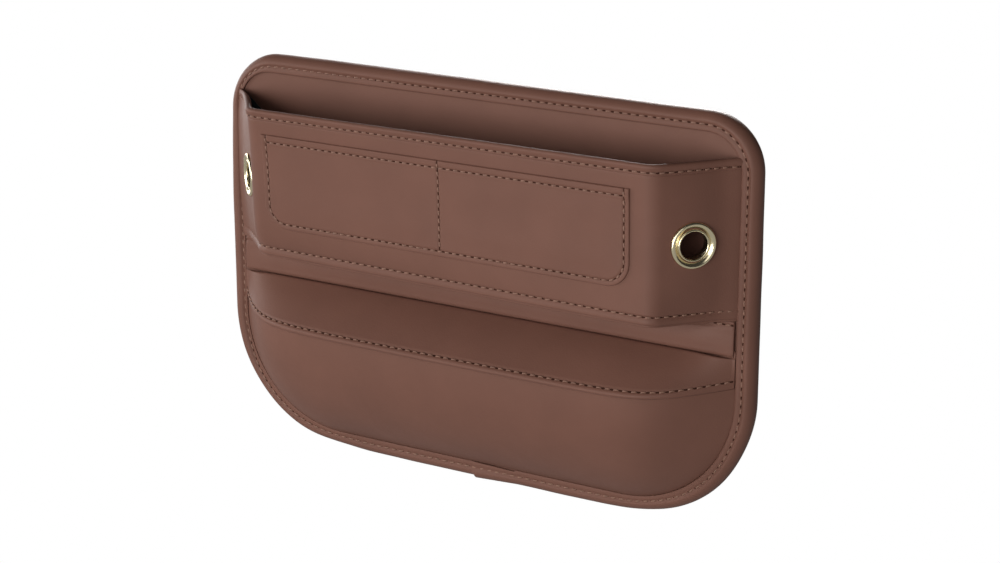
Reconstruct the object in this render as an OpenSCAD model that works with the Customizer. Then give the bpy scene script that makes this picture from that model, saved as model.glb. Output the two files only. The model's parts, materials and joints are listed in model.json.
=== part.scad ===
// Wall or seat organiser: a padded D-shaped panel with a rolled rim, a deep upper pocket with a
// card patch and two cable eyelets, a hinged slot flap and a lower compartment under it.
// X is the width, the front faces -Y and Z is up. The origin is the centre of the flat back.

/* [Panel] */
// Width of the whole panel, over the rolled rim
body_w = 340; // [330:1:350]
// Height of the whole panel, over the rolled rim
body_h = 232; // [226:1:238]
// Radius of the two upper corners
top_r = 31; // [27:1:34]
// Radius of the two lower corners
bottom_r = 77; // [70:1:84]
// Radius of the roll around the rim, half of the panel's thickness
rim_r = 6; // [5.5:0.1:6.5]
// Width of the flat part of the binding strip, inside the roll
strip_w = 4.8; // [4:0.1:5.5]
// Distance of the rim stitch line from the outer edge
rim_stitch_in = 6.6; // [6.2:0.1:8]

/* [Sheets] */
// Thickness of the leather sheets
skin_t = 1.2; // [1:0.1:1.4]
// Thickness of the stiff board inside the panel
board_t = 2; // [1.5:0.1:2.5]
// Thickness of the plastic sheet inside the upper pocket's wall
stiffener_t = 1; // [0.8:0.1:1.2]
// Thickness of the lining cloth
lining_t = 0.6; // [0.4:0.1:0.8]
// Width of a sewing thread
thread_w = 0.8; // [0.6:0.1:1]
// Height of a sewing thread above the leather
thread_h = 0.4; // [0.3:0.1:0.6]

/* [Upper pocket] */
// Width of the flat front, between the two folds
pocket_front_w = 253.4; // [246:0.1:258]
// Width of the pocket where its side walls meet the panel
pocket_back_w = 315.2; // [314:0.1:316]
// Depth of the pocket in front of the panel's rim
pocket_depth = 34.5; // [30:0.5:38]
// Height of the mouth's edge
mouth_z = 94; // [92:0.5:95]
// Height of the stitch line along the bottom ridge
ridge_z = 11.5; // [11:0.5:13]
// How far the bottom ridge hangs below its stitch line
ridge_drop = 5.7; // [5:0.1:6]
// Outer radius of the fold between the front and a side wall
fold_r = 12; // [8:1:16]
// Distance of the mouth's stitch line from its edge
mouth_hem = 4.3; // [4:0.1:5]

/* [Card patch] */
// Width of the card patch
patch_w = 232; // [224:1:236]
// Height of the patch's lower edge
patch_bottom_z = 25.4; // [24:0.1:28]
// Height of the patch's upper edge
patch_top_z = 80.1; // [78:0.1:82]
// Radius of the patch's two lower corners
patch_r = 14; // [10:1:18]
// Distance of the patch's stitch line from its side and lower edges
patch_stitch_in = 3.2; // [2.5:0.1:4]
// Sideways place of the patch's centre
patch_x = -2; // [-4:0.1:4]

/* [Eyelets] */
// Radius of the eyelet's hole
eyelet_hole_r = 7.5; // [7:0.1:8]
// Outer radius of the eyelet's flange
eyelet_r = 12.4; // [12:0.1:13]
// Distance of an eyelet's centre in front of the panel's face
eyelet_out = 19; // [18:0.5:20]
// Height of the eyelets
eyelet_z = 48.5; // [45:0.5:52]

/* [Slot flap] */
// Height of the flap's lower edge
flap_bottom_z = -15.1; // [-16:0.1:-14]
// Height of the line that the flap turns about, just below its stitches
flap_hinge_z = 1.5; // [1:0.1:2]
// Height of the flap's seam strip above that line
flap_seam_h = 4; // [3.5:0.1:4]
// Thickness of the folded flap
flap_t = 1.8; // [1.6:0.1:2]

/* [Lower compartment] */
// Depth of the compartment's ridge in front of the panel's rim
lower_depth = 33; // [28:0.5:35]
// Height of the ridge's stitch line at its two ends
lower_end_z = -27.3; // [-29:0.1:-26]
// How much lower the ridge's stitch line lies at mid width
lower_sag = 5.7; // [4:0.1:7]
// How far the ridge stands out past its stitch line
lower_ridge_out = 3.6; // [3:0.1:4.5]
// How squarely the ridge turns back to the rim, seen from above
lower_square = 4.5; // [3.5:0.1:6]

/* [Hidden] */
$fn = 64;

leather = "#75503f";
leather_dark = "#5f4033";
cloth = "#1d1c20";
thread = "#9b7a64";
brass = "#d8c27a";

// Depths are measured forwards from the back: the rim's front and the face inside it
rim_t = 2 * rim_r;
face_d = rim_t - skin_t;
foam_t = face_d - skin_t - skin_t - board_t;
binding_in = rim_r + strip_w;
layer_gap = 0.2;

// The pocket's plan: front face depth, the walls' slope, and the centre of the fold
front_d = rim_t + pocket_depth;
wall_run = (pocket_back_w - pocket_front_w) / 2;
wall_angle = atan2(front_d - face_d, wall_run);
fold_c = [pocket_front_w / 2 - fold_r * tan(wall_angle / 2), fold_r - front_d];
fold_steps = 8;
score_w = 0.2;
ridge_edge_z = ridge_z - ridge_drop;
base_top_z = ridge_z - 1.1;
wall_top_z = mouth_z - skin_t;
wall_t = skin_t + stiffener_t + lining_t;
hem_t = 0.5;
hem_inside_h = 10;

// Flap: the slot behind it takes the lip of the lower compartment
flap_w = body_w - 2 * binding_in - 1.4;
flap_lean = 1.8;
lip_tuck = 4;
lip_gap = 0.1;

// Lower compartment: the grid of its curved sheets
across = 40;
down = 10;
lower_half_w = body_w / 2 - binding_in - 0.6;
lower_edge_in = binding_in + 0.5;
bulge_power = 2.2;
bulge_root = 0.8;

// ---- Flat outlines, drawn in X and Z ----

// The panel's outline, pulled in from the outer edge
module panel_outline(inset) {
    w = body_w / 2 - inset;
    h = body_h / 2 - inset;
    rt = top_r - inset;
    rb = bottom_r - inset;
    translate([-w, rb - h]) square([2 * w, 2 * h - rt - rb]);
    translate([rt - w, 0]) square([2 * (w - rt), h]);
    translate([rb - w, -h]) square([2 * (w - rb), h]);
    for (side = [-1, 1]) {
        translate([side * (w - rt), h - rt]) circle(rt);
        translate([side * (w - rb), rb - h]) circle(rb);
    }
}

// Stands a flat X-Z drawing up between two depths in front of the back face
module layer(depth_from, depth_to) {
    translate([0, -depth_from, 0]) rotate([90, 0, 0]) linear_extrude(depth_to - depth_from) children();
}

// Sweeps a profile round the panel: its X points out of the edge, its Y forwards from the back
module rim_sweep() {
    w = body_w / 2 - rim_r;
    h = body_h / 2 - rim_r;
    rt = top_r - rim_r;
    rb = bottom_r - rim_r;
    translate([w, 0, rb - h]) rim_straight(2 * h - rt - rb, 0) children();
    translate([-w, 0, h - rt]) rim_straight(2 * h - rt - rb, 180) children();
    translate([w - rt, 0, h]) rim_straight(2 * (w - rt), -90) children();
    translate([rb - w, 0, -h]) rim_straight(2 * (w - rb), 90) children();
    translate([w - rt, 0, h - rt]) rim_corner(rt, 0) children();
    translate([rt - w, 0, h - rt]) rim_corner(rt, 90) children();
    translate([rb - w, 0, rb - h]) rim_corner(rb, 180) children();
    translate([w - rb, 0, rb - h]) rim_corner(rb, 270) children();
}

// A straight run of the rim, turned in the panel's plane
module rim_straight(run, turn) {
    rotate([0, turn, 0]) rotate([90, 0, 0]) rotate([-90, 0, 0]) linear_extrude(run) mirror([0, 1]) children();
}

// A quarter turn of the rim
module rim_corner(r, turn) {
    rotate([90, 0, 0]) rotate([0, 0, turn]) rotate_extrude(angle = 90) translate([r, 0]) children();
}

// ---- The pocket's plan, drawn in X and Y ----

// Right half of the wall's line, an offset inside its outer face, from the front to the panel
function wall_half(off) =
    let (
        r = fold_r - off,
        t = fold_c + r * [sin(wall_angle), -cos(wall_angle)],
        arc = [for (i = [0 : fold_steps]) let (a = wall_angle * i / fold_steps) fold_c + r * [sin(a), -cos(a)]]
    )
    concat(arc, [[t[0] + (-face_d - t[1]) / tan(wall_angle), -face_d]]);

function reversed(list) = [for (i = [len(list) - 1 : -1 : 0]) list[i]];
function mirrored(list) = [for (p = list) [-p[0], p[1]]];

// The whole line of the wall, from the left end to the right end
function wall_line(off) = concat(reversed(mirrored(wall_half(off))), wall_half(off));

// A strip of wall between two offsets and two heights
module wall_band(off_out, off_in, z_from, z_to) {
    translate([0, 0, z_from]) linear_extrude(z_to - z_from)
        polygon(concat(wall_line(off_out), reversed(wall_line(off_in))));
}

// A floor inside the wall's line
module wall_floor(off, z_from, z_to) {
    translate([0, 0, z_from]) linear_extrude(z_to - z_from) polygon(wall_line(off));
}

// ---- Panel ----

module back_cover() {
    color(leather) layer(0, skin_t) panel_outline(binding_in);
}

module stiffener_board() {
    color("#b9a27c") layer(skin_t, skin_t + board_t) panel_outline(rim_r + layer_gap);
}

module padding_foam() {
    color("#d9d4c4") layer(skin_t + board_t, skin_t + board_t + foam_t) panel_outline(rim_r + layer_gap);
}

module panel_face() {
    color(leather) layer(face_d - skin_t, face_d) panel_outline(rim_r + layer_gap);
}

// Half-round cord that fills the rolled rim
module edge_cord() {
    color("#3a3634") rim_sweep() intersection() {
        translate([0, rim_r]) circle(rim_r - skin_t - 0.1);
        square([rim_r, rim_t]);
    }
}

// Leather strip that wraps the cord and both faces of the panel
module edge_binding() {
    color(leather) rim_sweep() {
        difference() {
            translate([0, rim_r]) circle(rim_r);
            translate([0, rim_r]) circle(rim_r - skin_t);
            translate([-rim_t, 0]) square([rim_t, rim_t]);
        }
        translate([-strip_w, 0]) square([strip_w, skin_t]);
        translate([-strip_w, face_d]) square([strip_w, skin_t]);
    }
}

// A thread that runs round the rim at one depth
module rim_thread(depth) {
    color(thread) rim_sweep()
        translate([rim_r - rim_stitch_in - thread_w / 2, depth]) square([thread_w, thread_h]);
}

module rim_thread_front() {
    rim_thread(rim_t);
}

module rim_thread_back() {
    rim_thread(-thread_h);
}

// ---- Upper pocket ----

// Places a drawing on an eyelet's axis: +Z out of the wall, zero on the wall's outer face
module at_eyelet(side) {
    x = pocket_back_w / 2 - eyelet_out / tan(wall_angle);
    mirror([side < 0 ? 1 : 0, 0, 0])
        translate([x, -face_d - eyelet_out, eyelet_z]) rotate([0, 90, wall_angle - 90]) children();
}

// Holes through the wall for both eyelets
module eyelet_holes() {
    for (side = [-1, 1]) at_eyelet(side) translate([0, 0, -wall_t - 2]) cylinder(r = eyelet_hole_r + 1, h = wall_t + 4);
}

// One sheet: the flat front, the two slanted side walls and the ridge below their stitches
module upper_pocket_wall() {
    color(leather) difference() {
        wall_band(0, skin_t, ridge_edge_z, wall_top_z);
        eyelet_holes();
    }
}

// Thin cuts through the stiffener along both sides of each fold
module score_cuts() {
    for (side = [0, 1]) mirror([side, 0, 0]) for (turn = [0, wall_angle])
        translate(concat(fold_c, base_top_z - 1)) rotate([0, 0, turn])
            translate([-score_w / 2, -fold_r - 1, 0]) cube([score_w, fold_r, wall_top_z - base_top_z + 2]);
}

// Plastic sheet scored at the folds: the front, two fold strips and two sides
module pocket_wall_stiffener() {
    color("#8a8f94") difference() {
        wall_band(skin_t, skin_t + stiffener_t, base_top_z, wall_top_z);
        eyelet_holes();
        score_cuts();
    }
}

module upper_pocket_lining() {
    color(cloth) difference() {
        union() {
            wall_band(skin_t + stiffener_t, wall_t, base_top_z, wall_top_z);
            wall_floor(wall_t, base_top_z, base_top_z + lining_t);
        }
        eyelet_holes();
    }
}

// Gusset that closes the pocket's bottom, with its edge turned down behind the ridge
module upper_pocket_base() {
    color(leather_dark) {
        wall_floor(skin_t, base_top_z - skin_t, base_top_z);
        wall_band(skin_t, 2 * skin_t, ridge_edge_z, base_top_z - skin_t);
    }
}

// Leather turned over the mouth's edge
module mouth_hem_strip() {
    color(leather) {
        wall_band(-hem_t, wall_t + hem_t, wall_top_z, mouth_z);
        wall_band(-hem_t, 0, mouth_z - mouth_hem - 1.3, wall_top_z);
        wall_band(wall_t, wall_t + hem_t, wall_top_z - hem_inside_h, wall_top_z);
    }
}

module mouth_thread() {
    z = mouth_z - mouth_hem;
    color(thread) wall_band(-hem_t - thread_h, -hem_t, z - thread_w / 2, z + thread_w / 2);
}

module ridge_thread() {
    color(thread) wall_band(-thread_h, 0, ridge_z - thread_w / 2, ridge_z + thread_w / 2);
}

// ---- Card patch ----

// The patch's outline, pulled in from its sides and its lower edge only
module patch_outline(inset) {
    w = patch_w / 2 - inset;
    z = patch_bottom_z + inset;
    r = patch_r - inset;
    translate([patch_x, 0]) {
        translate([-w, z + r]) square([2 * w, patch_top_z - z - r]);
        translate([r - w, z]) square([2 * (w - r), r]);
        for (side = [-1, 1]) translate([side * (w - r), z + r]) circle(r);
    }
}

module card_patch() {
    color(leather) layer(front_d, front_d + skin_t) patch_outline(0);
}

module card_outline_thread() {
    color(thread) layer(front_d + skin_t, front_d + skin_t + thread_h) difference() {
        patch_outline(patch_stitch_in - thread_w / 2);
        patch_outline(patch_stitch_in + thread_w / 2);
    }
}

// A straight thread on the patch, centred on a point
module patch_thread(x, z, run, rise) {
    color(thread) layer(front_d + skin_t, front_d + skin_t + thread_h)
        translate([patch_x + x - run / 2, z - rise / 2]) square([run, rise]);
}

module card_top_thread() {
    half_run = patch_w / 2 - patch_stitch_in - thread_w;
    for (side = [-1, 1])
        patch_thread(side * (half_run + thread_w) / 2, patch_top_z - 4.2, half_run - thread_w, thread_w);
}

module card_divider_thread() {
    z_from = patch_bottom_z + patch_stitch_in + thread_w;
    z_to = patch_top_z - 0.5;
    patch_thread(0, (z_from + z_to) / 2, thread_w, z_to - z_from);
}

// ---- Eyelets ----

// Domed flange, a groove, a rolled inner lip and the barrel through the wall
module eyelet(side) {
    lip_r = 0.65;
    dome_r = (eyelet_r - eyelet_hole_r) / 2 - 0.65;
    color(brass) at_eyelet(side) rotate_extrude() {
        translate([eyelet_hole_r, -wall_t - 1.6]) square([0.7, wall_t + 2.6]);
        translate([eyelet_hole_r + lip_r, 1]) circle(lip_r);
        translate([eyelet_hole_r, 0]) square([eyelet_r - eyelet_hole_r - 0.4, 0.5]);
        intersection() {
            translate([eyelet_r - dome_r, 0]) circle(dome_r);
            square([eyelet_r, dome_r]);
        }
        translate([eyelet_hole_r, -wall_t - 1.6]) square([2, 0.6]);
    }
}

module eyelet_left() {
    eyelet(-1);
}

module eyelet_right() {
    eyelet(1);
}

// Flat ring that the barrel's rolled end grips on the inside
module eyelet_washer(side) {
    color(brass) at_eyelet(side) translate([0, 0, -wall_t - 1]) difference() {
        cylinder(r = eyelet_r - 0.6, h = 1);
        translate([0, 0, -1]) cylinder(r = eyelet_hole_r + 0.8, h = 3);
    }
}

module eyelet_washer_left() {
    eyelet_washer(-1);
}

module eyelet_washer_right() {
    eyelet_washer(1);
}

// ---- Slot flap ----

// Sweeps a drawing in depth and height across the width of the flap
module across_flap() {
    translate([flap_w / 2, 0, 0]) rotate([90, 0, -90]) linear_extrude(flap_w) children();
}

// The sewn top of the flap's strip, which stays on the panel
module flap_seam_strip() {
    color(leather) across_flap()
        translate([face_d, flap_hinge_z + 0.2]) square([flap_t, flap_seam_h]);
}

module flap_thread() {
    z = flap_hinge_z + 1.7;
    color(thread) across_flap()
        translate([face_d + flap_t, z - thread_w / 2]) square([thread_h, thread_w]);
}

// The folded strip below the stitches, with a rounded lower edge
module slot_flap() {
    r = flap_t / 2;
    back = face_d + 0.3;
    top_z = flap_hinge_z - 0.2;
    fold = [for (a = [0 : 30 : 180]) [back + flap_lean + r + r * cos(a), flap_bottom_z + r - r * sin(a)]];
    color(leather) across_flap() polygon(concat([[back, top_z], [back + flap_t - 0.3, top_z]], fold));
}

// ---- Lower compartment ----

// Depth of the ridge in front of the rim at a place across the width, from 0 to 1
function ridge_share(x) = pow(max(0, 1 - pow(abs(x) / lower_half_w, lower_square)), 1 / 1.5);

// Stitch line of the ridge, for s from -1 to 1 across the width
function ridge_point(s) =
    let (x = lower_half_w * sin(90 * s), k = ridge_share(x))
    [x, -rim_t - lower_depth * k, lower_end_z - lower_sag * k];

// The compartment's edge on the panel, from the left end of the ridge round to the right end
function edge_point(s) =
    let (
        w = body_w / 2 - lower_edge_in,
        h = body_h / 2 - lower_edge_in,
        r = bottom_r - lower_edge_in,
        side_run = (lower_end_z - 2.2) - (r - h),
        arc_run = r * PI / 2,
        flat_run = w - r,
        total = side_run + arc_run + flat_run,
        d = abs(s) * total,
        sgn = s < 0 ? -1 : 1
    )
    d < flat_run ? [sgn * d, -h] :
    d < flat_run + arc_run ?
        let (a = (d - flat_run) / arc_run * 90) [sgn * (flat_run + r * sin(a)), r - h - r * cos(a)] :
    [sgn * w, r - h + d - flat_run - arc_run];

// Outer face of the lower front, for s across and v from the ridge down to the panel
function front_point(s, v) =
    let (
        top = ridge_point(s),
        low = edge_point(s),
        x = top[0] * (1 - v) + low[0] * v,
        z = (top[2] - 2.2) * (1 - v) + low[1] * v,
        d = top[1] + 1 + face_d
    )
    [x, -face_d + min(0, d) * pow(1 - pow(v, bulge_power), bulge_root), z];

// Outer face of the lower top, for s across and v from the lip to the ridge's edge
function top_point(s, v) =
    let (
        ridge = ridge_point(s),
        lip = [ridge[0], -face_d - lip_gap - skin_t, flap_bottom_z + lip_tuck],
        bend = lip - [0, 0, lip_tuck + 0.6],
        k = ridge_share(ridge[0]),
        tip = ridge + lower_ridge_out * [0, -0.45 * k, -0.88]
    )
    v < 0.2 ? lip + (bend - lip) * v / 0.2 :
    v < 0.85 ? bend + (ridge - bend) * (v - 0.2) / 0.65 :
    ridge + (tip - ridge) * (v - 0.85) / 0.15;

function unit(p) = p / norm(p);
function kept_front(p) = [p[0], min(p[1], -face_d - 0.02), p[2]];

// A point under a sheet, at a distance along the sheet's own normal
function under_front(s, v, t) =
    let (
        e = 0.004,
        ds = front_point(min(s + e, 1), v) - front_point(max(s - e, -1), v),
        dv = front_point(s, min(v + e, 0.99)) - front_point(s, max(v - e, 0)),
        n = unit(cross(dv, ds))
    )
    kept_front(front_point(s, v) - t * n);

// Closes two matching grids of points into a sheet with a thickness
module sheet(outer, inner) {
    rows = len(outer);
    cols = len(outer[0]);
    n = rows * cols;
    at = function (i, j) i * cols + j;
    faces_out = [for (i = [0 : rows - 2]) for (j = [0 : cols - 2]) each
        [[at(i, j), at(i, j + 1), at(i + 1, j + 1)], [at(i, j), at(i + 1, j + 1), at(i + 1, j)]]];
    faces_in = [for (f = faces_out) [n + f[0], n + f[2], n + f[1]]];
    rim = concat(
        [for (j = [0 : cols - 1]) at(0, j)], [for (i = [1 : rows - 1]) at(i, cols - 1)],
        [for (j = [cols - 2 : -1 : 0]) at(rows - 1, j)], [for (i = [rows - 2 : -1 : 1]) at(i, 0)]
    );
    faces_rim = [for (k = [0 : len(rim) - 1]) let (a = rim[k], b = rim[(k + 1) % len(rim)]) each
        [[a, n + a, b], [b, n + a, n + b]]];
    polyhedron(points = concat([for (r = outer) each r], [for (r = inner) each r]),
        faces = concat(faces_out, faces_in, faces_rim));
}

s_steps = [for (i = [0 : across]) 0.985 * (2 * i / across - 1)];
v_steps = [for (j = [0 : down]) 0.985 * j / down];
top_steps = [0, 0.2, 0.36, 0.52, 0.68, 0.85, 1];

module lower_pocket_front() {
    color(leather) sheet(
        [for (s = s_steps) [for (v = v_steps) front_point(s, v)]],
        [for (s = s_steps) [for (v = v_steps) under_front(s, v, skin_t)]]
    );
}

module lower_pocket_lining() {
    color(cloth) sheet(
        [for (s = s_steps) [for (v = v_steps) under_front(s, v, skin_t + 0.1)]],
        [for (s = s_steps) [for (v = v_steps) under_front(s, v, skin_t + 0.1 + lining_t)]]
    );
}

// The shelf from the lip behind the flap to the sewn ridge
module lower_pocket_top() {
    color(leather_dark) sheet(
        [for (s = s_steps) [for (v = top_steps) top_point(s, v)]],
        [for (s = s_steps) [for (v = top_steps) top_point(s, v) + skin_t * (v <= 0.2 ? [0, 1, 0] : [0, 0.4, -0.9])]]
    );
}

// Thread along the ridge, a little above the leather
module lower_ridge_thread() {
    lift = 0.3;
    color(thread) sheet(
        [for (s = s_steps) [for (side = [-1, 1]) ridge_point(s) + [0, -0.3 * side * thread_w - 0.2, lift + thread_h]]],
        [for (s = s_steps) [for (side = [-1, 1]) ridge_point(s) + [0, -0.3 * side * thread_w - 0.2, lift]]]
    );
}

back_cover();
stiffener_board();
padding_foam();
panel_face();
edge_cord();
edge_binding();
rim_thread_front();
rim_thread_back();
upper_pocket_wall();
pocket_wall_stiffener();
upper_pocket_lining();
upper_pocket_base();
mouth_hem_strip();
mouth_thread();
ridge_thread();
card_patch();
card_outline_thread();
card_top_thread();
card_divider_thread();
eyelet_left();
eyelet_right();
eyelet_washer_left();
eyelet_washer_right();
flap_seam_strip();
flap_thread();
slot_flap();
lower_pocket_top();
lower_pocket_front();
lower_pocket_lining();
lower_ridge_thread();
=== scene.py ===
"""Looks of the panel organiser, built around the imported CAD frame.

X is across, Z is up and the front faces -Y. Lengths are in millimetres until a mesh is made. A depth is
measured forwards from the back of the panel, so a point at depth d has y = -d.
"""

import json
import math

import bmesh
import bpy
import numpy as np
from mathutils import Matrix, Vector


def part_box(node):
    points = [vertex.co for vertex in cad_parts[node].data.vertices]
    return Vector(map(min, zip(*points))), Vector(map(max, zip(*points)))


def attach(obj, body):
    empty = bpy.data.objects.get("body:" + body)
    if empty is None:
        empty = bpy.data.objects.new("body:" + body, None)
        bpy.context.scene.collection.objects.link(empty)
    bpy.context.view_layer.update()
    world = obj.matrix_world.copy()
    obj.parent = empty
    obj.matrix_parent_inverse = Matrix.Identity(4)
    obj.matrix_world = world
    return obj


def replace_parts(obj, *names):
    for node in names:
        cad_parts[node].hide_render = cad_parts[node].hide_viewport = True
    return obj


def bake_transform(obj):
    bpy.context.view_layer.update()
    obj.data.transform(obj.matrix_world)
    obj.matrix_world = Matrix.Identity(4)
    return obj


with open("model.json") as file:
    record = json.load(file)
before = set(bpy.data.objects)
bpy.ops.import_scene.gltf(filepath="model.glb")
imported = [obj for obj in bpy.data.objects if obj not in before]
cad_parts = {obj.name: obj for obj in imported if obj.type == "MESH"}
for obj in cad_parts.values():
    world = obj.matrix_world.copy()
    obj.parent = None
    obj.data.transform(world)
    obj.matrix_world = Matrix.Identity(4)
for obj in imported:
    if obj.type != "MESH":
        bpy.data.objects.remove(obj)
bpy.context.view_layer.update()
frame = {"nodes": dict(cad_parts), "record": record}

MM = 0.001
SIDES = ((-1, "left"), (1, "right"))


def box_mm(node):
    """Lowest and highest corner of a CAD node, in millimetres."""
    lo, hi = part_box(node)
    return np.array(lo) / MM, np.array(hi) / MM


# ---- Sizes taken from the frame ----

bind_lo, bind_hi = box_mm("edge_binding")
cover_lo, cover_hi = box_mm("back_cover")
wall_lo, wall_hi = box_mm("upper_pocket_wall")
ridge_lo, ridge_hi = box_mm("ridge_thread")
patch_lo, patch_hi = box_mm("card_patch")
flap_lo, flap_hi = box_mm("slot_flap")

HALF_W = bind_hi[0]
HALF_H = bind_hi[2]
RIM_T = bind_hi[1] - bind_lo[1]
RIM_R = RIM_T / 2
SKIN_T = cover_hi[1] - cover_lo[1]
FACE_D = RIM_T - SKIN_T
BINDING_IN = HALF_W - cover_hi[0]
STITCH_IN = HALF_W - box_mm("rim_thread_front")[1][0] + 0.4
TOP_R, BOTTOM_R = 31.0, 77.0

FRONT_D = -wall_lo[1]
BACK_HALF = wall_hi[0]
FRONT_HALF = 126.7
FOLD_R = 12.0
WALL_T = 2.8
WALL_TOP_Z = wall_hi[2]
RIDGE_Z = (ridge_lo[2] + ridge_hi[2]) / 2
BASE_TOP_Z = box_mm("upper_pocket_base")[1][2]
MOUTH_Z = box_mm("mouth_hem_strip")[1][2]
MOUTH_STITCH_Z = MOUTH_Z - 4.3
HEM_LOW_Z = MOUTH_STITCH_Z - 1.6

PITCH = 5.0


# ---- Small tools ----

def smooth_noise(n, waves, amount, seed):
    """A smooth wobble over n places round a loop, built from a few sine waves."""
    r = np.random.default_rng(seed)
    t = np.linspace(0, 1, n, endpoint=False)
    out = np.zeros(n)
    for k in waves:
        out += np.sin(2 * math.pi * (k * t + r.random())) * (0.6 + 0.4 * r.random())
    return out * amount / len(waves)


def bump(x, centre, width):
    """A smooth bell, 1 at its centre."""
    return np.exp(-((np.asarray(x) - centre) / width) ** 2)


def ramp(x, a, b):
    """A smooth step from 0 at a to 1 at b."""
    t = np.clip((np.asarray(x, float) - a) / (b - a), 0, 1)
    return t * t * (3 - 2 * t)


def unit(v):
    """Vectors scaled to length 1."""
    return v / np.linalg.norm(v, axis=-1, keepdims=True)


def lengths_along(points):
    """Length along a polyline at each of its points."""
    return np.concatenate([[0], np.cumsum(np.linalg.norm(np.diff(points, axis=0), axis=1))])


def interpolated(s, d, rows):
    """Rows of numbers at the places s, from rows that lie at the places d."""
    return np.stack([np.interp(s, d, column) for column in rows.T], axis=1)


def add_mesh(name, points, faces, material, body="root", slot=None):
    """Makes a smooth-shaded object from millimetre points, riding on a body."""
    mesh = bpy.data.meshes.new(name)
    mesh.from_pydata((np.asarray(points) * MM).tolist(), [], faces)
    mesh.update()
    shell = bmesh.new()
    shell.from_mesh(mesh)
    bmesh.ops.recalc_face_normals(shell, faces=shell.faces)
    if shell.calc_volume(signed=True) < 0:
        bmesh.ops.reverse_faces(shell, faces=shell.faces)
    shell.to_mesh(mesh)
    shell.free()
    mesh.polygons.foreach_set("use_smooth", [True] * len(mesh.polygons))
    obj = bpy.data.objects.new(name, mesh)
    bpy.context.scene.collection.objects.link(obj)
    obj.data.materials.append(material)
    if body:
        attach(obj, body)
    return obj


def grid_faces(rows, cols, wrap_rows=False, wrap_cols=False, start=0):
    """Quads over a grid of points, row by row."""
    faces = []
    for i in range(rows if wrap_rows else rows - 1):
        low, high = start + i * cols, start + (i + 1) % rows * cols
        for j in range(cols if wrap_cols else cols - 1):
            k = (j + 1) % cols
            faces.append((low + j, low + k, high + k, high + j))
    return faces


def cap(start, n):
    """One face over n points that follow each other."""
    return tuple(range(start, start + n))


def swept(name, rings, material, closed=False, **kw):
    """A solid from closed rings of points, n x m x 3, capped at both ends unless the sweep closes."""
    n, m = rings.shape[:2]
    faces = grid_faces(n, m, wrap_rows=closed, wrap_cols=True)
    if not closed:
        faces += [cap(0, m)[::-1], cap((n - 1) * m, m)]
    return add_mesh(name, rings.reshape(-1, 3), faces, material, **kw)


def sheet_solid(name, outer, inner, material, **kw):
    """A closed sheet between two matching grids of points."""
    n, m = outer.shape[:2]
    faces = grid_faces(n, m)
    back = [tuple(n * m + k for k in f[::-1]) for f in faces]
    rim = list(range(m)) + [i * m + m - 1 for i in range(1, n)]
    rim += [(n - 1) * m + j for j in range(m - 2, -1, -1)] + [i * m for i in range(n - 2, 0, -1)]
    sides = [(b, a, n * m + a, n * m + b) for a, b in zip(rim, rim[1:] + rim[:1])]
    points = np.concatenate([outer.reshape(-1, 3), inner.reshape(-1, 3)])
    return add_mesh(name, points, faces + back + sides, material, **kw)


def normals_of(grid):
    """Unit normals of a grid of points."""
    du = np.gradient(grid, axis=0)
    dv = np.gradient(grid, axis=1)
    n = np.cross(du, dv)
    return n / np.maximum(np.linalg.norm(n, axis=2, keepdims=True), 1e-9)


# ---- Materials ----

def new_material(name):
    """A node material, its node tree, its shader and the object's own coordinates."""
    mat = bpy.data.materials.new(name)
    mat.use_nodes = True
    nt = mat.node_tree
    shader = nt.nodes["Principled BSDF"]
    coords = nt.nodes.new("ShaderNodeTexCoord")
    return mat, nt, shader, coords.outputs["Object"]


def noise_node(nt, coords, scale, detail):
    """Soft noise. Scale is in blobs per metre."""
    node = nt.nodes.new("ShaderNodeTexNoise")
    node.inputs["Scale"].default_value = scale
    node.inputs["Detail"].default_value = detail
    node.inputs["Roughness"].default_value = 0.55
    nt.links.new(coords, node.inputs["Vector"])
    return node.outputs["Fac"]


def ramp_node(nt, value, stops):
    """A value turned into colours, from two stops of place and colour."""
    node = nt.nodes.new("ShaderNodeValToRGB")
    for element, (place, colour) in zip(node.color_ramp.elements, stops):
        element.position = place
        element.color = (*colour, 1)
    nt.links.new(value, node.inputs["Fac"])
    return node.outputs["Color"]


def bump_node(nt, height, strength, distance, normal=None):
    """A bump from a height, on top of an earlier bump if there is one. Distance is in metres."""
    node = nt.nodes.new("ShaderNodeBump")
    node.inputs["Strength"].default_value = strength
    node.inputs["Distance"].default_value = distance
    nt.links.new(height, node.inputs["Height"])
    if normal is not None:
        nt.links.new(normal, node.inputs["Normal"])
    return node.outputs["Normal"]


def mottle(nt, shader, coords, scale, detail, dark, light):
    """A base colour that drifts between two shades."""
    colour = ramp_node(nt, noise_node(nt, coords, scale, detail), [(0.3, dark), (0.7, light)])
    nt.links.new(colour, shader.inputs["Base Color"])


def vary_roughness(nt, shader, coords, scale, low, high):
    """A roughness that drifts between two values."""
    gloss = nt.nodes.new("ShaderNodeMapRange")
    gloss.inputs["To Min"].default_value = low
    gloss.inputs["To Max"].default_value = high
    nt.links.new(noise_node(nt, coords, scale, 3), gloss.inputs["Value"])
    nt.links.new(gloss.outputs["Result"], shader.inputs["Roughness"])


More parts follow.
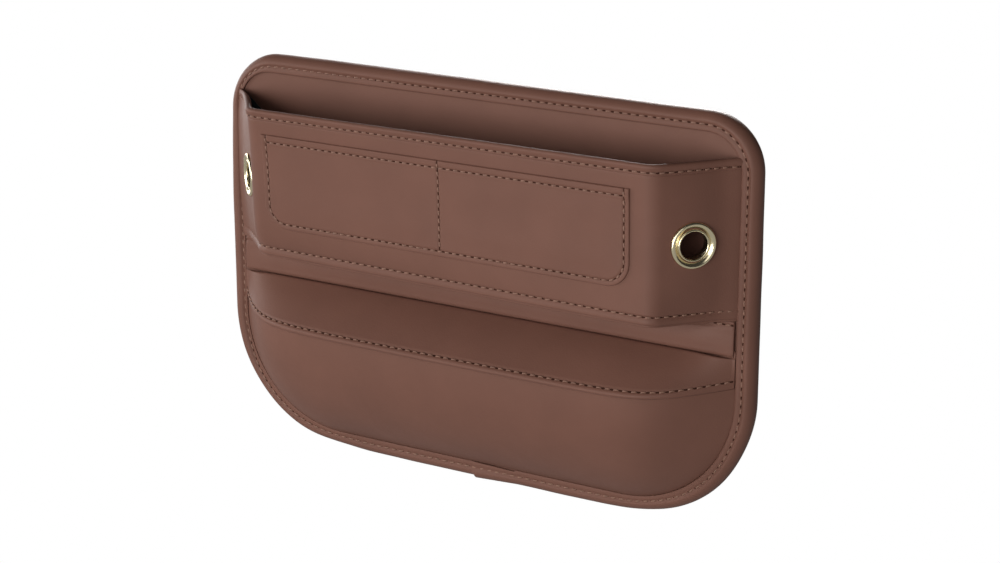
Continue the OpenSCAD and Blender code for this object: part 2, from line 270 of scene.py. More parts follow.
def leather_material(name, tone):
    """Smooth matt leatherette: pebble grain, fine pores, slow mottling."""
    mat, nt, shader, coords = new_material(name)
    tone = np.array(tone)
    mottle(nt, shader, coords, 28, 3, tone * 0.94, tone * 1.05)
    cells = nt.nodes.new("ShaderNodeTexVoronoi")
    cells.feature = "SMOOTH_F1"
    cells.inputs["Scale"].default_value = 1100
    nt.links.new(coords, cells.inputs["Vector"])
    pebble = bump_node(nt, cells.outputs["Distance"], 0.35, 0.00012)
    pores = bump_node(nt, noise_node(nt, coords, 1500, 2), 0.25, 0.00008, pebble)
    waves = bump_node(nt, noise_node(nt, coords, 60, 2), 0.25, 0.0006, pores)
    nt.links.new(waves, shader.inputs["Normal"])
    vary_roughness(nt, shader, coords, 300, 0.44, 0.58)
    shader.inputs["Specular IOR Level"].default_value = 0.26
    shader.inputs["Specular Tint"].default_value = (1.0, 0.86, 0.80, 1)
    return mat


def cloth_material(name, tone):
    """Plain-woven cloth: two crossing sets of threads."""
    mat, nt, shader, coords = new_material(name)
    tone = np.array(tone)
    weave = nt.nodes.new("ShaderNodeMath")
    weave.operation = "MULTIPLY"
    for k, direction in enumerate(("X", "Z")):
        threads = nt.nodes.new("ShaderNodeTexWave")
        threads.bands_direction = direction
        threads.inputs["Scale"].default_value = 420
        nt.links.new(coords, threads.inputs["Vector"])
        nt.links.new(threads.outputs["Fac"], weave.inputs[k])
    colour = ramp_node(nt, weave.outputs[0], [(0.0, tone * 0.6), (1.0, tone * 1.3)])
    nt.links.new(colour, shader.inputs["Base Color"])
    nt.links.new(bump_node(nt, weave.outputs[0], 0.4, 0.0001), shader.inputs["Normal"])
    shader.inputs["Roughness"].default_value = 0.85
    shader.inputs["Sheen Weight"].default_value = 0.2
    return mat


def thread_material(name, tone):
    """Twisted thread."""
    mat, nt, shader, coords = new_material(name)
    tone = np.array(tone)
    mottle(nt, shader, coords, 900, 2, tone * 0.8, tone * 1.15)
    nt.links.new(bump_node(nt, noise_node(nt, coords, 3500, 2), 0.5, 0.0001), shader.inputs["Normal"])
    shader.inputs["Roughness"].default_value = 0.6
    return mat


def metal_material(name, tone):
    """Polished plated brass with faint wear."""
    mat, nt, shader, coords = new_material(name)
    tone = np.array(tone)
    mottle(nt, shader, coords, 120, 3, tone * 0.95, tone)
    shader.inputs["Metallic"].default_value = 1.0
    vary_roughness(nt, shader, coords, 700, 0.16, 0.26)
    return mat


def painted_hole_shade_material(name, dark, light):
    """Painted shade: a dark colour, with no reflection, that stands in for the shadow inside a needle hole.
    """
    mat, nt, shader, coords = new_material(name)
    mottle(nt, shader, coords, 600, 2, dark, light)
    shader.inputs["Roughness"].default_value = 1.0
    shader.inputs["Specular IOR Level"].default_value = 0.0
    return mat


def plain_material(name, tone, roughness):
    """A hidden filler: plastic, board or foam with a fine grain."""
    mat, nt, shader, coords = new_material(name)
    tone = np.array(tone)
    mottle(nt, shader, coords, 400, 3, tone * 0.85, tone * 1.1)
    nt.links.new(bump_node(nt, noise_node(nt, coords, 1200, 2), 0.3, 0.0002), shader.inputs["Normal"])
    shader.inputs["Roughness"].default_value = roughness
    return mat


LEATHER = leather_material("leather", (0.160, 0.073, 0.052))
LINING = cloth_material("lining_cloth", (0.012, 0.012, 0.014))
THREAD = thread_material("thread", (0.225, 0.114, 0.076))
BRASS = metal_material("brass", (0.93, 0.82, 0.55))
# The needle holes' dark colour is painted shade for the shadow inside each hole.
PAINTED_HOLE_SHADE = painted_hole_shade_material("needle_hole", (0.040, 0.017, 0.012), (0.060, 0.026, 0.018))
PLASTIC = plain_material("stiffener_plastic", (0.22, 0.23, 0.24), 0.5)
BOARD = plain_material("fibre_board", (0.32, 0.22, 0.12), 0.8)
FOAM = plain_material("foam", (0.6, 0.57, 0.48), 0.95)


# ---- Stitches ----

STITCH_LENGTH = 3.6
STITCH_WIDTH = 1.02
STITCH_HEIGHT = 0.64
STITCH_TILT = 7.0
HOLE_HALF_LENGTH = 1.05
HOLE_HALF_WIDTH = 0.58


def unit_frame(tangent, normal):
    """Unit tangent, normal and sideways direction, square to each other."""
    t = unit(tangent)
    n = unit(normal - t * (normal @ t))
    return t, n, np.cross(n, t)


def stitches(name, places, tangents, normals, length=STITCH_LENGTH):
    """One mesh of separate stitches. Each is a bent thread whose ends dive into the leather."""
    rings, sides = 9, 8
    points, faces = [], []
    r = np.random.default_rng(len(name) * 31 + len(places))
    for p, tangent, normal in zip(places, tangents, normals):
        turn = math.radians(STITCH_TILT + 2.5 * (2 * r.random() - 1))
        half = length * (0.95 + 0.1 * r.random()) / 2
        t, n, b = unit_frame(tangent, normal)
        t, b = t * math.cos(turn) + b * math.sin(turn), b * math.cos(turn) - t * math.sin(turn)
        start = len(points)
        for i in range(rings):
            u = 2 * i / (rings - 1) - 1
            swell = math.sqrt(max(0.0, 1 - abs(u) ** 5)) * 0.9 + 0.1
            lift = STITCH_HEIGHT * (0.55 - 1.5 * abs(u) ** 3.5)
            for k in range(sides):
                a = 2 * math.pi * k / sides
                across = b * math.cos(a) * STITCH_WIDTH / 2 * swell
                outwards = n * (lift + math.sin(a) * STITCH_HEIGHT / 2 * swell)
                points.append(p + t * u * half + across + outwards)
        faces += grid_faces(rings, sides, wrap_cols=True, start=start)
        faces += [cap(start, sides)[::-1], cap(start + (rings - 1) * sides, sides)]
    return add_mesh(name, points, faces, THREAD, slot="thread")


def needle_holes(name, places, tangents, normals):
    """One mesh of small slits, each a shallow dish with a raised rim, where the thread goes in. Their
    darkness is painted shade from their material.
    """
    sides = 14
    points, faces = [], []
    for p, tangent, normal in zip(places, tangents, normals):
        t, n, b = unit_frame(tangent, normal)
        start = len(points)
        for r, lift in ((1.0, -0.25), (0.97, 0.1), (0.7, 0.14), (0.35, 0.08)):
            for k in range(sides):
                a = 2 * math.pi * k / sides
                spoke = HOLE_HALF_LENGTH * t * math.cos(a) + HOLE_HALF_WIDTH * b * math.sin(a)
                points.append(p + r * spoke + n * lift)
        faces += [f[::-1] for f in grid_faces(4, sides, wrap_cols=True, start=start)]
        faces += [cap(start + 3 * sides, sides), cap(start, sides)[::-1]]
    return add_mesh(name, points, faces, PAINTED_HOLE_SHADE, slot="thread")


def along(points, pitch, start=0.0, end=0.0, closed=False):
    """Evenly spaced places, half-way places and tangents along a polyline."""
    pts = np.asarray(points, float)
    if closed:
        pts = np.concatenate([pts, pts[:1]])
    d = lengths_along(pts)
    total = d[-1] - start - end
    count = max(1, int(round(total / pitch)))
    step = (d[-1] / count) if closed else total / count

    def at(x):
        x = np.mod(x, d[-1]) if closed else np.clip(x, 0, d[-1])
        return interpolated(x, d, pts)

    def tangent(x):
        return at(x + 0.4) - at(x - 0.4)

    mid = start + step * (np.arange(count) + 0.5)
    ends = start + step * np.arange(count if closed else count + 1)
    return at(mid), tangent(mid), at(ends), tangent(ends)


def sew(name, node, line, normals_at, pitch=PITCH, start=0.0, end=0.0, closed=False, length=STITCH_LENGTH):
    """A row of stitches that stands for a CAD thread, with a needle hole at each end of each stitch."""
    mid, mid_t, hole, hole_t = along(line, pitch, start, end, closed)
    row = stitches(name.format("stitches"), mid, mid_t, normals_at(mid, mid_t), length)
    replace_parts(row, node)
    needle_holes(name.format("needle_holes"), hole, hole_t, normals_at(hole, hole_t))


def forwards(places, tangents):
    """Normals of a row that lies on the front."""
    return np.full((len(places), 3), (0, -1.0, 0))


def backwards(places, tangents):
    """Normals of a row that lies on the back."""
    return -forwards(places, tangents)


def outwards(places, tangents):
    """Normals of a row that runs round the pocket's wall."""
    return unit(np.stack([tangents[:, 1], -tangents[:, 0], np.zeros(len(tangents))], axis=1))


# ---- Rim ----

STITCH_P = RIM_R - STITCH_IN
LAP_START, LAP_END = -2.6, 24.6
OUTLINE_STEP = 4.0


def rounded_path(inset, step):
    """Points and outward normals round the panel's outline at an inset, evenly spaced, in X and Z."""
    w, h = HALF_W - inset, HALF_H - inset
    rt, rb = TOP_R - inset, BOTTOM_R - inset
    low, high = (rb, w - rb, rb - h), (rt, w - rt, h - rt)
    corners = [(*low, -90), (*high, 0), (high[0], -high[1], high[2], 90), (low[0], -low[1], low[2], 180)]
    raw, nrm = [], []
    for r, cx, cz, a0 in corners:
        for a in np.radians(np.linspace(a0, a0 + 90, 60)):
            raw.append((cx + r * math.cos(a), cz + r * math.sin(a)))
            nrm.append((math.cos(a), math.sin(a)))
    raw, nrm = np.array(raw + raw[:1]), np.array(nrm + nrm[:1])
    d = lengths_along(raw)
    count = int(round(d[-1] / step))
    s = np.arange(count) * d[-1] / count
    return interpolated(s, d, raw), unit(interpolated(s, d, nrm)), s, d[-1]


def pulled(x, z, p):
    """The sewn rim is drawn in at its upper left corner and a little at its lower ones. p is the distance
    outwards from the middle of the roll: the inner edge of the strip stays where it is."""
    x, z, p = np.asarray(x, float), np.asarray(z, float), np.asarray(p, float)
    left = ramp(-x, 40, 120)
    right = ramp(x, 40, 100)
    high = ramp(z, 0, 60)
    low = ramp(-z, 40, 90)
    dx = 2.2 * left * high * np.exp(-(np.maximum(HALF_H - 14 - z, 0) / 40) ** 2)
    dx = dx - 1.1 * right * low * bump(z, -58, 20)
    dz = -2.3 * left * high * bump(x, -HALF_W, 24)
    dz = dz + 2.0 * left * low * bump(x, -97, 20) + 1.2 * right * low * bump(x, 107, 20)
    weight = ramp(p, -6, 3)
    return x + dx * weight, z + dz * weight


def tucked(x, z):
    """How far the stitch line lies further in than usual: down the left side it runs close to the seam."""
    return 1.7 * ramp(-x, 120, 150) * ramp(z, -88, -52) * (1 - ramp(z, 78, 100))


def rim_profile():
    """Cross-section of the binding, outer side first: p out of the edge, q forwards from the back."""
    strip = RIM_R - BINDING_IN + 0.5
    band = np.arange(strip + 0.8, -0.1, 0.45)
    front = [(strip, FACE_D + 0.1), (strip - 0.05, FACE_D + 0.7), (strip + 0.25, FACE_D + 1.05)]
    front += [(p, RIM_T - 0.1) for p in band]
    roll = [(math.sin(a) * RIM_R, RIM_R + math.cos(a) * RIM_R) for a in np.radians(np.arange(4, 177, 6))]
    back = [(p, 0.1) for p in band[::-1]]
    back += [(strip + 0.25, SKIN_T - 1.05), (strip - 0.05, SKIN_T - 0.7), (strip, SKIN_T - 0.1)]
    core = RIM_R - SKIN_T - 0.4
    inside = [(0.0, SKIN_T + 0.1), (core, RIM_R - 2), (core, RIM_R + 2), (0.0, FACE_D - 0.1)]
    return np.array(front + roll + back + inside)


def rim_surface(p, q, s, total, tuck):
    """Pulls the profile down along the stitches and lets the roll swell a little between them."""
    count = round(total / PITCH)
    phase = np.cos(2 * math.pi * s * count / total)
    groove = (0.66 + 0.14 * phase + 0.35 * tuck)[:, None] * bump(p[None, :] + tuck[:, None], STITCH_P, 1.15)
    front_side = ramp(q, RIM_R, RIM_R + 3)[None, :]
    roll = 0.35 * bump(p, 2.2, 2.4)[None, :]
    dq = (roll - groove) * (2 * front_side - 1)
    return np.broadcast_to(p[None, :], dq.shape), q[None, :] + dq


def lapped(x, z, p, q):
    """The binding's two ends overlap on the lower edge: the upper one stands proud and fades out."""
    on_lap = (z < 0) * ramp(x, LAP_START - 0.6, LAP_START + 0.6) * (1 - ramp(x, LAP_END - 0.4, LAP_END + 0.4))
    fade = np.clip((LAP_END - x) / (LAP_END - LAP_START), 0, 1)
    edge = 1.2 * fade * ramp(p, -1.5, 2) + 0.9 * (1 - fade) * (1 - ramp(p, -4.4, -3.2))
    front = ramp(q, RIM_R - 2, RIM_R + 2)
    return p + on_lap * edge, q + on_lap * 0.5 * fade * (2 * front - 1)


def rim_rings(path, nrm, p, q):
    """Rings of points from p and q along the drawn-in outline."""
    x, z = pulled(path[:, 0:1] + nrm[:, 0:1] * p, path[:, 1:2] + nrm[:, 1:2] * p, p)
    return np.stack([x, np.broadcast_to(-q, x.shape), z], axis=2)


def build_cord():
    """The half-round cord inside the roll."""
    path, nrm, _, _ = rounded_path(RIM_R, 3.0)
    radius = RIM_R - SKIN_T - 0.15
    a = np.radians(np.arange(-90, 91, 15))
    rings = rim_rings(path, nrm, radius * np.cos(a)[None, :], RIM_R + radius * np.sin(a)[None, :])
    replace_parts(swept("rim_cord", rings, FOAM, closed=True, slot="foam"), "edge_cord")


def build_rim():
    """The binding rolled round the panel's edge, and its stitches on both sides."""
    path, nrm, s, total = rounded_path(RIM_R, PITCH / 4)
    profile = rim_profile()
    p, q = rim_surface(profile[:, 0], profile[:, 1], s, total, tucked(path[:, 0], path[:, 1]))
    wobble = smooth_noise(len(s), (7, 13, 22, 31), 0.18, 3)[:, None]
    p = p + wobble * ramp(p, 0, 4)
    p, q = lapped(path[:, 0:1], path[:, 1:2], p, q)
    obj = swept("rim_binding", rim_rings(path, nrm, p, q), LEATHER, closed=True, slot="leather")
    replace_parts(obj, "edge_binding")
    sew_rim("front", RIM_T - 0.72, 1, forwards)
    sew_rim("back", 0.72, -1, backwards)


def sew_rim(side, depth, into, normals_at):
    """The row on one side of the rim. It lies deeper where it is tucked in close to the seam."""
    line, out, _, _ = rounded_path(STITCH_IN, 1.0)
    tuck = tucked(line[:, 0], line[:, 1])
    line = line - out * tuck[:, None]
    x, z = pulled(line[:, 0], line[:, 1], STITCH_P)
    points = np.stack([x, 0.38 * tuck * into - depth, z], axis=1)
    sew("rim_{}_" + side, f"rim_thread_{side}", points, normals_at, start=PITCH / 2, closed=True)


# ---- Upper pocket ----

WALL_ANGLE = math.atan2(FRONT_D - FACE_D, BACK_HALF - FRONT_HALF)
FOLD_C = np.array([FRONT_HALF - FOLD_R * math.tan(WALL_ANGLE / 2), FOLD_R - FRONT_D])


def lean_pocket(points):
    """The soft pocket leans out at its mouth, is drawn in at its ridge, and its ends flare under the binding.
    Its right side is crowned and its left side sways."""
    points = np.array(points, float)
    x, y, z = points[..., 0].copy(), points[..., 1], points[..., 2]
    side = np.sign(x)
    out = -FACE_D - y
    t = np.clip((z - RIDGE_Z) / (MOUTH_Z - RIDGE_Z), 0, 1)
    u = np.clip(x / FRONT_HALF, -1, 1)
    pinch = np.maximum(0, 0.07 - 0.08 * u) * np.exp(-np.maximum(z - RIDGE_Z, 0) / 8)
    scale = 1 + t ** 3 * (0.095 - 0.035 * u) - pinch
    arch = np.sin(math.pi * np.clip(out / (FRONT_D - FACE_D), 0, 1))
    crown = 2.0 * arch * ramp(z, 10, 34) * (1 - 0.5 * ramp(z, 76, 94)) * (x > FRONT_HALF - 16)
    sway = np.sin(math.pi * (19 - out) / 34) * (1 - ramp(out, 22, 34))
    overhang = 2.3 * sway * (0.45 + 0.55 * ramp(z, 12, 42)) * (1 - 0.8 * ramp(z, 76, 94)) * (x < -FRONT_HALF)
    moved = x + side * crown * math.sin(WALL_ANGLE) - overhang
    flare = 2.9 * np.exp(-(np.maximum(out, 0) / 5) ** 2) * (np.abs(moved) > FRONT_HALF)
    points[..., 0] = moved + np.sign(moved) * flare
    points[..., 1] = -FACE_D - out * scale - crown * math.cos(WALL_ANGLE)
    return points


def wall_path(step):
    """Points and outward normals along the wall's outer face in X and Y, left end to right end."""
    a = np.linspace(0, WALL_ANGLE, 24)
    arc = FOLD_C + FOLD_R * np.stack([np.sin(a), -np.cos(a)], axis=1)
    end = [arc[-1, 0] + (-FACE_D - arc[-1, 1]) / math.tan(WALL_ANGLE), -FACE_D]
    right = np.concatenate([arc, [end]])
    angles = np.append(a, WALL_ANGLE)
    points = np.concatenate([right[::-1] * [-1, 1], right])
    angles = np.concatenate([-angles[::-1], angles])
    d = lengths_along(points)
    s = np.linspace(0, d[-1], int(math.ceil(d[-1] / step)) + 1)
    a = np.interp(s, d, angles)
    return interpolated(s, d, points), np.stack([np.sin(a), -np.cos(a)], axis=1), s


def wall_rings(section):
    """Rings that carry a section of (offset outwards, height) along the wall, flatter near its two ends.
    The section is a list, or a function of the place and the whole length."""
    path, nrm, s = wall_path(PITCH / 4)
    rings = []
    for i in range(len(s)):
        sec = np.asarray(section(s[i], s[-1]) if callable(section) else section)
        pressed = 0.4 + 0.6 * float(ramp(min(s[i], s[-1] - s[i]), 0, 24))
        offset = np.where(sec[:, 0:1] < 0, sec[:, 0:1] * pressed, sec[:, 0:1])
        rings.append(np.column_stack([path[i] + nrm[i] * offset, sec[:, 1]]))
    return lean_pocket(rings)


def stitch_phase(s, total):
    """1 at a needle hole and -1 at the middle of a stitch, for a row that starts half a pitch in."""
    count = max(1, round((total - PITCH) / PITCH))
    step = (total - PITCH) / count
    return math.cos(2 * math.pi * (s - PITCH / 2) / step)


def wall_section(s, total):
    """The wall from under the mouth hem down to the ridge's edge and back up behind it."""
    groove = 0.75 + 0.18 * stitch_phase(s, total)
    heights = [86.5, 80, 73, 66, 59, 52, 45, 38, 32, 26, 22, 19, 17, 15.5, 14.2, 13.2, 12.4]
    outer = [(-0.8, WALL_TOP_Z), (-0.8, MOUTH_STITCH_Z)]
    outer += [(-0.7, HEM_LOW_Z + 0.6), (-0.1, HEM_LOW_Z - 0.1), (0.0, HEM_LOW_Z - 0.8)]
    outer += [(0.25 * bump(z, 45, 30), z) for z in heights]
    outer += [(-groove * bump(z, RIDGE_Z, 0.9) + 0.15, z) for z in (12.0, 11.5, 11.0)]
    outer += [(0.1, 10.2), (0.35, 9.2), (0.4, 8.2), (0.3, 7.5)]
    outer += [(-0.05, 7.05), (-0.6, 6.95), (-1.1, 7.1), (-1.2, 8.0)]
    inner = [(-SKIN_T, z) for z in (9.0, 14.0, 40.0, 70.0, WALL_TOP_Z)]
    return outer + inner


def flange_section(s, total):
    """The gusset's edge, turned down behind the ridge."""
    edge = -1.0 + 0.036 * stitch_phase(s, total)
    front = [(-1.25, 9.3), (-1.25, 6.9), (edge, 6.2), (-1.15, 5.75), (-1.8, 5.6), (-2.4, 5.8)]
    return front + [(-2.75, 6.6), (-2.7, 8.6), (-3.2, 9.2), (-3.4, 10.3), (-1.3, 10.3)]


def hem_section(s, total):
    """The leather turned over the wall's upper edge."""
    groove = 0.42 + 0.14 * stitch_phase(s, total)
    top = MOUTH_Z
    out = [(-0.1, HEM_LOW_Z), (0.12, HEM_LOW_Z + 0.1)]
    for z in np.arange(HEM_LOW_Z + 0.5, MOUTH_STITCH_Z + 1.4, 0.35):
        out.append((0.22 - groove * bump(z, MOUTH_STITCH_Z, 0.6), z))
    out += [(0.5, top - 2.2), (0.52, top - 1.7), (0.4, top - 1.15), (0.1, top - 0.6), (-0.35, top - 0.2)]
    out += [(-1.3, top + 0.05), (-2.3, top - 0.08), (-2.95, top - 0.5), (-3.1, top - 1.2), (-2.82, top - 1.7)]
    return out + [(-2.7, WALL_TOP_Z - 0.9), (-1.2, WALL_TOP_Z + 0.1), (0.0, WALL_TOP_Z - 1)]


def layer_section(front, back, heights):
    """A flat layer inside the wall, between two offsets."""
    return [(front, z) for z in heights] + [(back, z) for z in reversed(heights)]


def eyelet_axis(word):
    """Centre on the wall's outer face and outward direction of an eyelet, where the leaning wall lies."""
    mount = next(m for m in frame["record"]["mounts"] if m["name"] == f"eyelet_{word}")
    n = unit(np.array(mount["axis"]))
    up = np.array([0, 0, 1.0])
    raised = {"left": 0.6, "right": 1.3}[word]
    centre = np.array(mount["pos_m"]) / MM + n * 1.7 + up * raised
    sideways = np.array([-n[1], n[0], 0])
    around = lean_pocket([centre + step * 9 for step in (0 * up, sideways, -sideways, up, -up)])
    turned = unit(np.cross(around[1] - around[2], around[3] - around[4]))
    return around[0], turned if turned @ n > 0 else -turned


def cut_eyelet_holes(obj):
    """Bores both eyelet holes through a wall sheet."""
    for _, word in SIDES:
        centre, n = eyelet_axis(word)
        bpy.ops.mesh.primitive_cylinder_add(vertices=48, radius=8.4 * MM, depth=16 * MM, location=centre * MM,
                                            rotation=Vector(n).to_track_quat("Z", "Y").to_euler())
        tool = bpy.context.object
        mod = obj.modifiers.new("bore", "BOOLEAN")
        mod.object = tool
        mod.solver = "EXACT"
        bpy.context.view_layer.objects.active = obj
        bpy.ops.object.modifier_apply(modifier="bore")
        bpy.data.objects.remove(tool)
    obj.data.polygons.foreach_set("use_smooth", [True] * len(obj.data.polygons))


def bored_layer(name, node, section, material, slot):
    """A layer of the wall with both eyelet holes through it, which stands for a CAD node."""
    obj = swept(name, wall_rings(section), material, slot=slot)
    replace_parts(obj, node)
    cut_eyelet_holes(obj)


def pocket_floor(name, inset, low, high, material, slot):
    """A thin plate across the inside of the wall."""
    path, nrm, _ = wall_path(4.0)
    edge = path - nrm * inset
    n = len(edge)
    points = lean_pocket([(x, y, z) for z in (low, high) for x, y in edge])
    faces = [cap(0, n)[::-1], cap(n, n)] + grid_faces(2, n, wrap_cols=True)
    add_mesh(name, points, faces, material, slot=slot)


def build_lining_turns():
    """The lining's two ends, turned on to the panel's face. Their tops slope down towards the middle."""
    xs = np.linspace(BACK_HALF - 0.5, BACK_HALF - 13, 14)
    x, v = np.meshgrid(xs, np.linspace(0, 1, 26), indexing="ij")
    inside = BACK_HALF - x
    foot = BASE_TOP_Z + 0.4
    z = foot + (MOUTH_Z - 0.4 - 0.84 * inside - foot) * v
    y = -FACE_D - 0.15 - 0.7 * np.exp(-(inside / 2.5) ** 2)
    for side, word in SIDES:
        back = np.stack([side * x, y, z], axis=2)[::side]
        sheet_solid(f"pocket_lining_turn_{word}", back - [0, 0.5, 0], back, LINING, slot="lining")


def sew_wall(name, node, z, offset, start=PITCH / 2):
    """A row of stitches round the wall at one height."""
    path, nrm, s = wall_path(1.0)
    points = lean_pocket(np.column_stack([path + nrm * offset, np.full(len(s), z)]))
    sew(name + "_{}", node, points, outwards, start=start, end=PITCH / 2)


def build_upper_pocket():
    """Wall, gusset, lining and stiffener of the upper pocket, then its ridge row and its mouth hem."""
    bored_layer("pocket_wall", "upper_pocket_wall", wall_section, LEATHER, "leather")
    flange = swept("pocket_base_flange", wall_rings(flange_section), LEATHER, slot="leather")
    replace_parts(flange, "upper_pocket_base")
    pocket_floor("pocket_base", 1.4, BASE_TOP_Z - SKIN_T, BASE_TOP_Z, LEATHER, "leather")
    lining = layer_section(-2.2, -WALL_T, (BASE_TOP_Z, 60.0, WALL_TOP_Z))
    bored_layer("pocket_lining", "upper_pocket_lining", lining, LINING, "lining")
    build_lining_turns()
    pocket_floor("pocket_lining_floor", WALL_T + 0.05, BASE_TOP_Z + 0.05, BASE_TOP_Z + 0.6, LINING, "lining")
    stiffener = layer_section(-1.3, -2.1, (14.5, 50.0, 86.0))
    bored_layer("pocket_stiffener", "pocket_wall_stiffener", stiffener, PLASTIC, "plastic")
    sew_wall("ridge", "ridge_thread", RIDGE_Z, -0.5, start=PITCH * 3.5)
    hem = swept("mouth_hem", wall_rings(hem_section), LEATHER, slot="leather")
    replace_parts(hem, "mouth_hem_strip")
    sew_wall("mouth", "mouth_thread", MOUTH_STITCH_Z, -0.12)


# ---- Eyelets ----

def turned_brass(name, profile, centre, axis):
    """A brass piece turned about an axis from a profile of (radius, height)."""
    q = Vector(axis).normalized().to_track_quat("Z", "Y")
    rings = []
    for a in 2 * math.pi * np.arange(72) / 72:
        ring = [q @ Vector((r * math.cos(a), r * math.sin(a), h)) for r, h in profile]
        rings.append([np.array(point) + centre for point in ring])
    return swept(name, np.array(rings), BRASS, closed=True, slot="brass")


def build_eyelets():
    """Two brass rings with a rolled lip, a dished slope and a round crest, and their washers inside."""
    lip = [(7.53, 0.3), (7.6, 0.75), (7.85, 1.1), (8.2, 1.22), (8.55, 1.05), (8.78, 0.65), (8.82, 0.15)]
    slope = [(8.95, -0.12), (9.2, 0.0), (9.6, 0.36), (10.2, 0.95), (10.8, 1.42)]
    crest = [(11.35, 1.62), (11.9, 1.55), (12.35, 1.2), (12.62, 0.65), (12.7, -0.2)]
    barrel = [(8.3, -0.1), (8.3, -3.7), (9.4, -3.75), (9.5, -4.3), (9.0, -4.55), (7.9, -4.6), (7.53, -4.4)]
    washer = [(8.4, -3.8), (11.5, -3.8), (11.8, -3.55), (11.8, -3.0), (11.6, -2.85), (8.4, -2.85)]
    shapes = (("ring", lip + slope + crest + barrel, "eyelet"), ("backing", washer, "eyelet_washer"))
    for _, word in SIDES:
        centre, n = eyelet_axis(word)
        for part, profile, node in shapes:
            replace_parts(turned_brass(f"eyelet_{part}_{word}", profile, centre, n), f"{node}_{word}")


# ---- Card patch ----

PATCH_X = (patch_lo[0] + patch_hi[0]) / 2
PATCH_HALF = (patch_hi[0] - patch_lo[0]) / 2
PATCH_R = 14.0
PATCH_SEW = box_mm("card_outline_thread")[0][0] - patch_lo[0] + 0.4
PATCH_TOP_SEW = 4.2


def patch_edge_distance(x, z):
    """Distance inside the patch's side and lower edges, and below its upper edge."""
    qx = np.abs(x - PATCH_X) - (PATCH_HALF - PATCH_R)
    qz = (patch_lo[2] + PATCH_R) - z
    out = np.hypot(np.maximum(qx, 0), np.maximum(qz, 0)) + np.minimum(np.maximum(qx, qz), 0)
    return PATCH_R - out, patch_hi[2] - z


def rounded_edge(distance):
    """A quarter-round rise from 0 at an edge to 1 a little way in."""
    return np.sqrt(np.clip(1 - (1 - np.clip(distance / 0.8, 0, 1)) ** 2, 0, 1))


def patch_height(x, z):
    """How far the patch stands in front of the pocket: rounded edges, sewn grooves, two soft fields."""
    d, top = patch_edge_distance(x, z)
    rise = np.minimum(rounded_edge(d), rounded_edge(top))
    deep = 0.5 + 0.1 * np.cos(2 * math.pi * (x + z) / PITCH)
    h = 0.95 * rise
    h = h + 0.2 * (1 - ramp(top, PATCH_TOP_SEW + 0.4, PATCH_TOP_SEW + 2.2)) * rise
    h = h - deep * bump(d, PATCH_SEW, 0.8)
    h = h - 0.45 * bump(top, PATCH_TOP_SEW, 0.7) * (d > PATCH_SEW)
    h = h - 0.5 * bump(x, PATCH_X, 0.8) * (d > PATCH_SEW)
    puff = ramp(d, PATCH_SEW, 16) * ramp(np.abs(x - PATCH_X), 0, 14) * ramp(top, 0, 16)
    return np.maximum(h + 0.5 * puff, 0.0)


def spaced(lo, hi, fine_at, coarse=2.2, fine=0.32):
    """Places from lo to hi that lie closer together near the places in fine_at."""
    places = [lo]
    while places[-1] < hi:
        near = min(abs(places[-1] - f) for f in fine_at)
        places.append(places[-1] + fine + (coarse - fine) * float(ramp(near, 2.0, 12.0)))
    places[-1] = hi
    return np.array(places)


def build_patch():
    """The patch as a sheet of columns that end on its rounded lower edge, and its three rows of stitches."""
    left, right = PATCH_X - PATCH_HALF, PATCH_X + PATCH_HALF
    xs = spaced(left, right, (left, left + PATCH_SEW, PATCH_X, right - PATCH_SEW, right))
    height = patch_hi[2] - patch_lo[2]
    vs = spaced(0, height, (0, PATCH_SEW, height - PATCH_TOP_SEW, height)) / height
    x, v = np.meshgrid(xs, vs, indexing="ij")
    qx = np.clip(np.abs(x - PATCH_X) - (PATCH_HALF - PATCH_R), 0, PATCH_R)
    low = patch_lo[2] + PATCH_R - np.sqrt(np.maximum(PATCH_R ** 2 - qx ** 2, 0))
    z = low + (patch_hi[2] - low) * v
    outer = lean_pocket(np.stack([x, np.full_like(x, -FRONT_D), z], axis=2))
    inner = outer + np.array([0, 0.1, 0])
    outer[..., 1] -= 0.25 + patch_height(x, z)
    obj = sheet_solid("card_pocket_patch", outer, inner, LEATHER, slot="leather")
    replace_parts(obj, "card_patch")
    w, r = PATCH_HALF - PATCH_SEW, PATCH_R - PATCH_SEW
    top, low = patch_hi[2] - 0.6, patch_lo[2] + PATCH_SEW
    turn = np.linspace(0, math.pi / 2, 16)[1:]
    outline = [(PATCH_X - w, z) for z in np.linspace(top, low + r, 60)]
    outline += [(PATCH_X - w + r - r * math.cos(a), low + r - r * math.sin(a)) for a in turn]
    outline += [(x, low) for x in np.linspace(PATCH_X - w + r, PATCH_X + w - r, 200)[1:]]
    outline += [(PATCH_X + w - r + r * math.sin(a), low + r - r * math.cos(a)) for a in turn]
    outline += [(PATCH_X + w, z) for z in np.linspace(low + r, top, 60)[1:]]
    sew_patch("outline", outline)
    hem_z = patch_hi[2] - PATCH_TOP_SEW
    sew_patch("top", [(x, hem_z) for x in np.linspace(PATCH_X - w + 1.2, PATCH_X + w - 1.2, 240)])
    sew_patch("divider", [(PATCH_X, z) for z in np.linspace(top, low + 1.2, 60)])


def sew_patch(word, line):
    """A row of slightly shorter stitches on the patch, along a line in X and Z."""
    x, z = np.array(line, float).T
    points = lean_pocket(np.stack([x, np.full(len(x), -FRONT_D), z], axis=1))
    points[:, 1] -= 0.25 + patch_height(x, z)
    sew(f"card_{word}_" + "{}", f"card_{word}_thread", points, forwards, PITCH * 0.92, 0.6, 0.6, length=3.3)


# ---- Slot flap ----

FLAP_HALF = flap_hi[0] + 0.1
FLAP_TOP_Z = box_mm("flap_seam_strip")[1][2]
FLAP_SEW_Z = 3.2
FLAP_LOW_Z = flap_lo[2]
FLAP_ROLL_Z = FLAP_LOW_Z + 0.7
FLAP_D = FACE_D + 1.9


